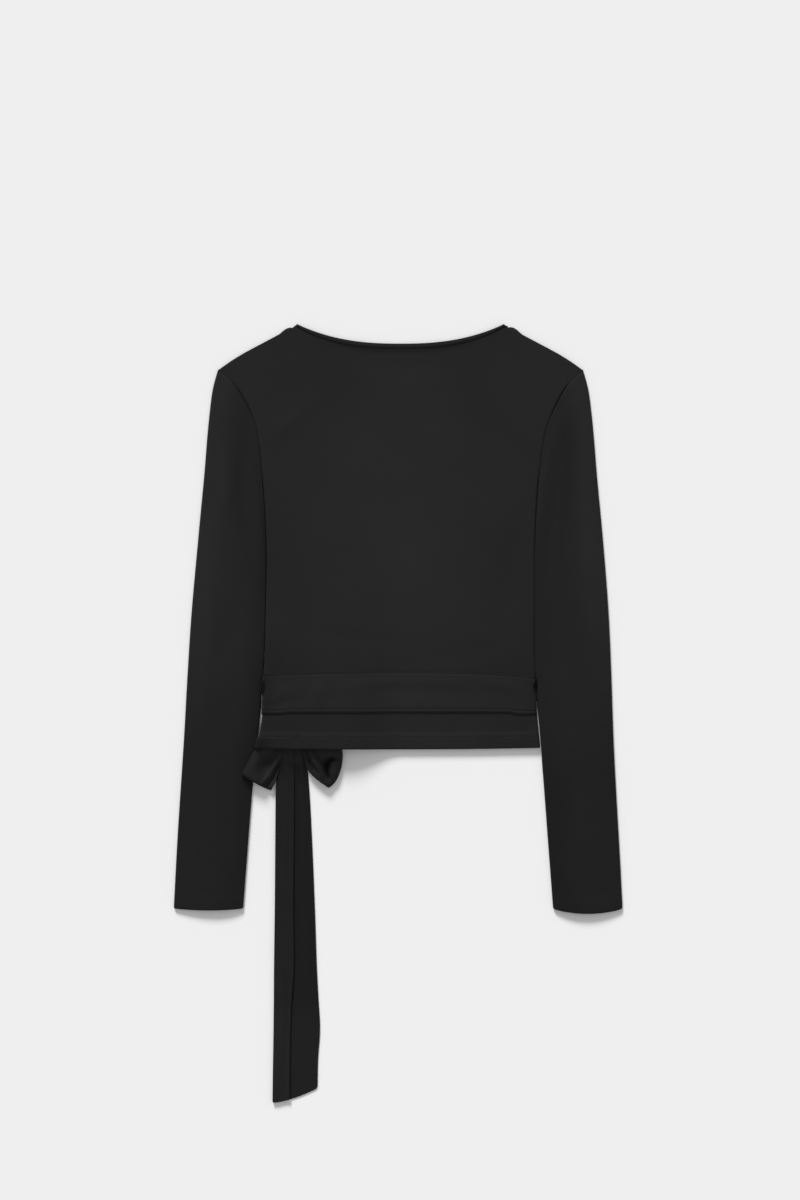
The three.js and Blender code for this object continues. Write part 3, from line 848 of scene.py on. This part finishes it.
def makeSash():
    knotEdge = knot["x"] - knot["width"] / 2 - garment["seamGap"]
    wall = sashSizes["wall"]
    bend = sashLook["turn"]

    def face(x, y, v):
        z = backSurface(x, y) + garment["wall"] + 0.15
        z += creaseHeight(sashLook["creases"], x, y)
        edge = v * sashSizes["width"]
        z -= 0.6 * bump(edge - sashLook["lip"], 0.6)
        z -= 1.0 * bump(edge, 1.1)
        z -= 0.4 * bump(sashSizes["width"] - sashLook["topLine"] - edge, 0.7)
        return z

    # Painted light and shade on the sash: lighter in the middle, darker on the strip below the lip, along the
    # top edge, at both ends, over the lifted slope and most in the side hollows
    def toneAndPaintedLight(u, v, x, y):
        tone = sashLook["tone"]
        shade = tone["strip"] * (1 - smooth(0.08, 0.11, v)) + tone["topEdge"] * smooth(0.955, 0.975, v)
        shade += tone["ends"] * smooth(132, 146, abs(x)) + slopeShade(x, y)
        lit = tone["base"] + tone["middle"] * bump(x, 95) - shade
        turned = u < bend or u > 1 - 2 * bend
        return max(tone["darkest"], lit - sideHollow["shade"] * hollow(y)) if turned else lit

    # u runs from the right slit over the back and round the left side to the knot
    def place(u, v):
        if u < bend:
            run, part = 1.0, u / bend
        elif u < 1 - 2 * bend:
            run, part = mix(1, -1, (u - bend) / (1 - 3 * bend)), None
        elif u < 1 - bend:
            run, part = -1.0, (u - 1 + 2 * bend) / bend
        else:
            run, part = -1.0, None
        y = sashHeight(run, v)
        edgeX = mix(bodyEdge(-1, y), bodyEdge(1, y), (run + 1) / 2)
        top = face(edgeX, y, v)
        pocket = hollow(y)
        atLeft, atRight = smooth(0.9, 1, -run), smooth(0.9, 1, run)
        low = 1 - smooth(0.25, 0.5, v)
        inset = sideHollow["left"] * pocket * atLeft - (sideHollow["right"] * pocket + 1.3 * low) * atRight
        bulge = mix(1.2, 0.5 if run < 0 else 0.0, low)
        if u < bend:
            angle = part * math.pi / 2
            x = edgeX + inset + bulge * math.cos(angle) + 3.0 * pocket * (1 - part) ** 3
            return x, y, mix(garment["layerStep"] - 1.0, top, math.sin(angle))
        if u < 1 - 2 * bend:
            return edgeX + inset, y, top
        if u < 1 - bend:
            angle = part * math.pi
            middle = (top + wall) / 2
            x = edgeX + inset * (1 - smooth(0.3, 0.9, part)) - bulge * (1 - 0.6 * pocket) * math.sin(angle)
            x -= 2.0 * pocket * smooth(0.6, 0.9, part) * (1 - smooth(0.94, 1, part))
            return x, y, middle + (top - wall) / 2 * math.cos(angle)
        t = (u - 1 + bend) / bend
        gathered = knot["y"] + (v - 0.5) * sashSizes["entryWidth"]
        return mix(edgeX, knotEdge, t), mix(y, gathered, smooth(0, 1, t)), wall

    stops = stretch(0, bend, 8) + stretch(bend, 1 - 2 * bend, sashLook["columns"])
    stops += stretch(1 - 2 * bend, 1 - bend, 14) + stretch(1 - bend, 1, 10) + [1.0]
    lines = (sashLook["lip"], sashSizes["width"] - sashLook["topLine"])
    rows = ladder(sashLook["rows"], sashSizes["width"], lines, edge=0.6)
    piece = clothGrid("sashCloth", stops, rows, place, (340, sashSizes["width"]), toneAndPaintedLight=toneAndPaintedLight)
    return ready(addWall(piece, wall, 1), sashJersey, ["sash"])


sashCloth = makeSash()


def makeTie():
    start = wrap["overEnd"] - 0.9
    end = knot["x"] + knot["width"] / 2 + garment["seamGap"]

    def place(u, v):
        x = mix(start, end, u)
        flat = sashSizes["bottom"] + sashSizes["width"] * v
        y = mix(flat, knot["y"] + (v - 0.5) * sashSizes["entryWidth"], smooth(0, 1, u))
        z = mix(rise(x, flat), 3, smooth(0, 1, u)) + 0.6 * math.sin(v * math.pi * 7) * u
        return x, y, z

    columns, rows = stretch(0, 1, 16) + [1.0], stretch(0, 1, 40) + [1.0]
    piece = clothGrid("tieOverCloth", columns, rows, place, (14, sashSizes["width"]))
    return ready(addWall(piece, sashSizes["wall"], 1), sashJersey, ["tie_over"])


tieOver = makeTie()
print("sash ready")

# Bow

bowRoot = knot["y"] - knot["height"] / 2 - garment["seamGap"]
loopLeft = {
    "outer": [(-131.4, bowRoot), (-146, 6), (-157, -1.5), (-166, -17), (-172.4, -27.8)],
    "inner": [(-123.4, bowRoot), (-126.2, 0), (-130, -16), (-134.6, -34), (-140.6, -46.4)],
    "belly": 0.5,
    "cornerRound": 1.2,
    "toneAndPaintedLight": -0.1,
    "hollow": 5.0,
    "climb": {"height": 5.4, "from": -158, "to": -141},
    "paintedLightUnderHem": {"toneAndPaintedLight": 1.0, "reach": 18},
    "pocket": None,
    "folds": [
        {"across": 0.16, "from": 0.05, "to": 1.05, "width": 0.065, "height": 2.4, "skew": 0.42},
        {"across": 0.05, "from": 0.1, "to": 1.1, "width": 0.045, "height": -2.2, "skew": 0.26},
        {"across": 0.44, "from": -0.1, "to": 0.85, "width": 0.16, "height": -2.8, "skew": 0.1},
        {"across": 0.78, "from": 0.1, "to": 1.0, "width": 0.13, "height": 0.9, "skew": 0.08},
    ],
}
loopRight = {
    "outer": [(-104.2, bowRoot), (-88, 14), (-76, 11), (-68, 8), (-63, 3)],
    "inner": [(-114.4, bowRoot), (-106, -2), (-101, -20), (-91.0, -31.2), (-72.8, -43.6)],
    "belly": 5.0,
    "cornerRound": 3.4,
    "toneAndPaintedLight": -0.36,
    "hollow": 6.4,
    "climb": None,
    "paintedLightUnderHem": {"toneAndPaintedLight": 0.85, "reach": 18},
    "pocket": {"depth": 6.2, "width": 0.05, "middle": 0.745, "turn": 0.45, "low": 1.3, "high": 2.4,
               "from": (0.06, 0.2), "to": (0.56, 0.68), "shade": 0.5},
    "folds": [
        {"across": 0.31, "from": 0.25, "to": 0.82, "width": 0.06, "height": 2.4, "skew": -0.78},
        {"across": 0.19, "from": 0.15, "to": 0.77, "width": 0.045, "height": -1.8, "skew": -0.22},
        {"across": 0.42, "from": 0.38, "to": 0.82, "width": 0.045, "height": -1.5, "skew": -0.92},
        {"across": 0.75, "from": 0.0, "to": 0.6, "width": 0.09, "height": 1.1, "skew": 0.05},
    ],
}


# Painted light: the bow's cloth is a little lighter just under the hem, where the raised hem shades it
def paintedLightUnderHem(look, x, y):
    return look["toneAndPaintedLight"] * (1 - smooth(0.3 * look["reach"], look["reach"], -y)) * smooth(-156, -145, x)


# A dent near the loop's folded end, 1 at its middle line
def pocketAt(pocket, a, v):
    steep = pocket["low"] if v < pocket["turn"] else pocket["high"]
    middle = pocket["middle"] + steep * (v - pocket["turn"]) ** 2
    ends = smooth(*pocket["from"], v) * (1 - smooth(*pocket["to"], v))
    return bump(a - middle, pocket["width"]) * ends


def foldHeight(folds, a, b):
    total = 0.0
    for fold in folds:
        middle = (fold["from"] + fold["to"]) / 2
        half = (fold["to"] - fold["from"]) / 2
        reach = abs(a - middle) / half
        if reach < 1:
            centre = fold["across"] + fold["skew"] * (a - middle)
            total += fold["height"] * bump(b - centre, fold["width"]) * (1 - reach ** 3)
    return total


loopSteps = {"out": 34, "turn": 14, "back": 44, "rows": 48, "turnStart": 0.42, "turnEnd": 0.58,
             "bandWidth": 36.0, "bandLength": 130.0}


# The band runs out from the knot, folds over at the tip and comes back above itself
def makeLoop(name, node, look):
    outer = edgeCurve(look["outer"])
    inner = edgeCurve(look["inner"])
    length = (outer(0) - outer(1)).length
    fold = (outer(1) - inner(1)).normalized()
    outward = Vector((fold.y, -fold.x))
    if outward.x * (outer(1).x - outer(0).x) < 0:
        outward = -outward
    wall = sashSizes["wall"]
    bend = look["hollow"] / 2
    tip = 1 - (bend + wall) / length
    turnStart, turnEnd = loopSteps["turnStart"], loopSteps["turnEnd"]

    # Share of the loop's length from the knot, and height
    def runAt(u):
        if u < turnStart:
            return tip * u / turnStart, 0.0
        if u > turnEnd:
            a = tip * (1 - u) / turnStart
            return a, look["hollow"] * smooth(-0.1, 0.5, a)
        angle = math.radians(mix(-90, 90, (u - turnStart) / (turnEnd - turnStart)))
        return tip + bend * math.cos(angle) / length, bend + bend * math.sin(angle)

    def place(u, v):
        a, z = runAt(u)
        belly = look["belly"] * 4 * v * (1 - v) - look["cornerRound"] * (1 - v) ** 10
        spot = inner(a).lerp(outer(a), v) + outward * belly * smooth(0.4, 1, a)
        share = z / look["hollow"]
        z += foldHeight(look["folds"], a, v) * share
        if look["pocket"]:
            z -= look["pocket"]["depth"] * pocketAt(look["pocket"], a, v) * share
        if look["climb"]:
            onSleeve = 1 - smooth(look["climb"]["from"], look["climb"]["to"], spot.x)
            z += look["climb"]["height"] * onSleeve * smooth(0, 0.4, a)
        return spot.x, spot.y, max(0.05, z)

    # Painted shade and light on the loop: darker all over, lighter just under the hem, darker along the dent
    def toneAndPaintedLight(u, v, x, y):
        tone = look["toneAndPaintedLight"] + paintedLightUnderHem(look["paintedLightUnderHem"], x, y)
        if look["pocket"]:
            tone -= look["pocket"]["shade"] * pocketAt(look["pocket"], runAt(u)[0], v)
        return max(-0.9, tone)

    stops = stretch(0, turnStart, loopSteps["out"]) + stretch(turnStart, turnEnd, loopSteps["turn"])
    stops += stretch(turnEnd, 1, loopSteps["back"]) + [1.0]
    rows = ladder(loopSteps["rows"], loopSteps["bandWidth"], edge=0.6)
    piece = clothGrid(name, stops, rows, place, (loopSteps["bandLength"], loopSteps["bandWidth"]), toneAndPaintedLight=toneAndPaintedLight)
    return ready(addWall(piece, wall, 0), sashJersey, [node])


tailSizes = {"length": 382.0, "flatLength": 400.0, "flatWidth": 42.0, "slant": 15.5, "corner": 2.0,
             "rows": 120, "endLight": 0.14}
tailLook = {
    "lower": {"far": "right", "base": 0.0, "wall": 1.3, "foldEdge": 0.0, "columns": 40,
              "toneAndPaintedLight": -0.52, "paintedLightUnderHem": {"toneAndPaintedLight": 1.3, "reach": 30}, "creases": [
        {"x": -106, "y": -30, "length": 60, "width": 2.2, "angle": 92, "height": 0.7},
        {"x": -103, "y": -90, "length": 70, "width": 2.6, "angle": 87, "height": 0.5},
        {"x": -101, "y": -210, "length": 90, "width": 4.0, "angle": 91, "height": 0.5},
        {"x": -104, "y": -330, "length": 60, "width": 3.4, "angle": 95, "height": 0.4},
        {"x": -110.5, "y": -14, "length": 34, "width": 1.3, "angle": 96, "height": -0.9},
    ]},
    "upper": {"far": "fold", "base": 1.5, "wall": 1.8, "foldEdge": 0.5, "columns": 34,
              "toneAndPaintedLight": -0.36, "paintedLightUnderHem": {"toneAndPaintedLight": 1.1, "reach": 27}, "creases": [
        {"x": -119.6, "y": -8, "length": 24, "width": 1.5, "angle": 100, "height": -1.5},
        {"x": -124.0, "y": -12, "length": 36, "width": 2.6, "angle": 97, "height": 0.9},
        {"x": -128.5, "y": -20, "length": 40, "width": 1.8, "angle": 101, "height": -0.7},
        {"x": -125, "y": -120, "length": 80, "width": 3.0, "angle": 89, "height": 0.5},
        {"x": -128, "y": -250, "length": 90, "width": 3.6, "angle": 92, "height": 0.5},
    ]},
}


def makeTail(name, node, look):
    def place(u, v):
        reach = mix(-bowRoot, tailSizes["length"], v)
        edges = {key: column(tailRows, "down", key, reach) for key in ("left", "fold", "right")}
        x = mix(edges["left"], edges[look["far"]], u)
        share = (x - edges["left"]) / (edges["right"] - edges["left"])
        slant = tailSizes["slant"] * max(0.0, share) ** 1.6 * smooth(0.5, 1, v)
        side = max(0.0, 1 - 40 * min(u, 1 - u) / tailSizes["corner"])
        y = -reach + slant + tailSizes["corner"] * side ** 2 * smooth(0.98, 1, v)
        z = look["base"] + creaseHeight(look["creases"], x, y)
        z += 0.3 * math.sin(v * 9 + u * 2) * (1 - abs(2 * u - 1))
        z += look["foldEdge"] * bump((1 - u) * 20 - 1.4, 1.0) * smooth(0.2, 0.7, v)
        return x, y, max(look["base"] * 0.9, z)

    # Painted shade and light on the tail: darker all over, lighter towards its end and just under the hem
    def toneAndPaintedLight(u, v, x, y):
        return look["toneAndPaintedLight"] + tailSizes["endLight"] * smooth(0.7, 0.8, v) + paintedLightUnderHem(look["paintedLightUnderHem"], x, y)

    rows = ladder(tailSizes["rows"], tailSizes["flatLength"], edge=0.7)
    piece = clothGrid(name, ladder(look["columns"], 40, edge=0.7), rows, place,
                      (tailSizes["flatWidth"], tailSizes["flatLength"]), toneAndPaintedLight=toneAndPaintedLight)
    return ready(addWall(piece, look["wall"], 1), sashJersey, [node])


# Knot: a wrapped pad with the band's turns across it
def makeKnot():
    mesh = bmesh.new()
    bmesh.ops.create_uvsphere(mesh, u_segments=48, v_segments=28, radius=1.0)

    def boxy(value):
        return math.copysign(abs(value) ** 0.7, value)

    halfWidth, halfHeight, halfThick = knot["width"] / 2, knot["height"] / 2, knot["thick"] / 2
    for vert in mesh.verts:
        x, y, z = vert.co
        drawIn = min(1.0, 1 + 0.035 * math.sin(boxy(x) * 9 + y * 2))
        vert.co = toFrame(knot["x"] + boxy(x) * halfWidth, knot["y"] + boxy(y) * halfHeight * drawIn,
                          halfThick + boxy(z) * halfThick * drawIn)
    return ready(finishMesh("bowKnotCloth", mesh), sashJersey, ["bow_knot"])


bowKnot = makeKnot()
bowLeft = makeLoop("bowLoopLeftCloth", "bow_loop_left", loopLeft)
bowRight = makeLoop("bowLoopRightCloth", "bow_loop_right", loopRight)
tailLower = makeTail("tailLowerCloth", "tail_lower", tailLook["lower"])
tailUpper = makeTail("tailUpperCloth", "tail_upper", tailLook["upper"])
print("bow ready")

# Stitches

stitchLook = {"length": 2.5, "pitch": 3.4, "width": 0.5, "height": 0.32, "sink": 0.26}


# A row of thread dashes that follows path(t) in millimetres, t from 0 to 1
def makeStitches(name, path, length, thread):
    count = int(length / stitchLook["pitch"])
    mesh = bmesh.new()
    for i in range(count):
        t = (i + 0.5) / count
        spot = Vector(path(t))
        ahead = Vector(path(min(1.0, t + 0.002))) - Vector(path(max(0.0, t - 0.002)))
        turn = ahead.to_track_quat("X", "Z").to_matrix()
        made = bmesh.ops.create_uvsphere(mesh, u_segments=6, v_segments=4, radius=0.5)
        size = stitchLook["length"] * random.uniform(0.92, 1.06)
        # Here and there a few stitches sink into the cloth
        sunk = smooth(0.1, -0.5, math.sin(i * 0.41 + length) + 0.8 * math.sin(i * 0.13 + 1))
        for vert in made["verts"]:
            local = Vector((vert.co.x * size, vert.co.y * stitchLook["width"],
                            vert.co.z * stitchLook["height"]))
            world = turn @ local + spot - Vector((0, 0, stitchLook["sink"] * sunk))
            vert.co = toFrame(*world)
    return ready(finishMesh(name, mesh), thread)


def hemPath(line):
    def path(t):
        x = mix(bodyEdge(-1, line) + 1.5, bodyEdge(1, line) - 1.5, t)
        y = hemHeight(x) + line
        return x, y, backSurface(x, y) + garment["wall"] + 0.08

    return path


def cuffPath(side, line):
    plan = sleevePlan(side)

    def path(t):
        s = mix(0.05, 0.95, t)
        v = 1 - line / sleeveLook["length"]
        spot = plan(s, v)
        return spot.x, spot.y, sleeveTop(side, s, v, spot) + 0.05

    return path


hemStitches = [makeStitches("hemStitches" + str(i), hemPath(line), 296, threadBlack)
               for i, line in enumerate(backLook["stitchLines"])]
cuffStitches = {
    side: [makeStitches("cuffStitches" + label + str(i), cuffPath(side, line), 70, threadDark)
           for i, line in enumerate(sleeveLook["stitchLines"])]
    for side, label in ((-1, "Left"), (1, "Right"))
}
print("stitches ready")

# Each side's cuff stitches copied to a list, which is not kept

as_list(cuffStitches[-1])
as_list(cuffStitches[1])

# Floor, light and camera

studio = {
    "floor": "#efefef",
    "floorHalf": 25.0,
    "worldStrength": 0.5,
    "sunStrength": 3.87,
    "sunSoftness": 16.0,
    "sunElevation": 24.0,
    "sunAzimuth": 16.0,
    "lens": 100.0,
    "sensor": 36.0,
    "cameraHeight": 3.6,
}
# Where the garment lies in the photo, in its pixels, and a pixel's size in mm
photo = {"width": 800, "height": 1200, "middle": 400.5, "hem": 748.8, "pixel": 1.08}


def makeFloor():
    mesh = bmesh.new()
    bmesh.ops.create_grid(mesh, x_segments=1, y_segments=1, size=studio["floorHalf"])
    floor = finishMesh("paleFloor", mesh)
    material = bpy.data.materials.new("paleMattPaper")
    material.use_nodes = True
    shader = material.node_tree.nodes["Principled BSDF"]
    shader.inputs["Base Color"].default_value = linear(studio["floor"])
    shader.inputs["Roughness"].default_value = 0.95
    shader.inputs["Specular IOR Level"].default_value = 0.05
    floor.data.materials.append(material)


# A low, soft lamp above the neckline and a little to the left
def makeSun():
    data = bpy.data.lights.new("lowSoftLamp", "SUN")
    data.energy = studio["sunStrength"]
    data.angle = math.radians(studio["sunSoftness"])
    lamp = addObject("lowSoftLamp", data)
    height = math.radians(studio["sunElevation"])
    turn = math.radians(studio["sunAzimuth"])
    level = math.cos(height)
    towards = Vector((-math.sin(turn) * level, math.cos(turn) * level, math.sin(height)))
    lamp.location = towards * 2
    lamp.rotation_euler = towards.to_track_quat("Z", "Y").to_euler()


makeFloor()
makeSun()
aim = Vector(toFrame((photo["width"] / 2 - photo["middle"]) * photo["pixel"],
                     (photo["hem"] - photo["height"] / 2) * photo["pixel"], 0))

world = bpy.data.worlds.new("softRoom")
world.use_nodes = True
background = world.node_tree.nodes["Background"]
background.inputs["Color"].default_value = (1, 1, 1, 1)
background.inputs["Strength"].default_value = studio["worldStrength"]
bpy.context.scene.world = world
bpy.context.scene.view_settings.view_transform = "Standard"

cameraData = bpy.data.cameras.new("overheadCamera")
cameraData.sensor_fit = "VERTICAL"
cameraData.sensor_height = studio["sensor"]
cameraData.lens = studio["lens"]
camera = addObject("overheadCamera", cameraData)
camera.location = aim + Vector((0, 0, studio["cameraHeight"]))
bpy.context.scene.camera = camera
print("studio ready")
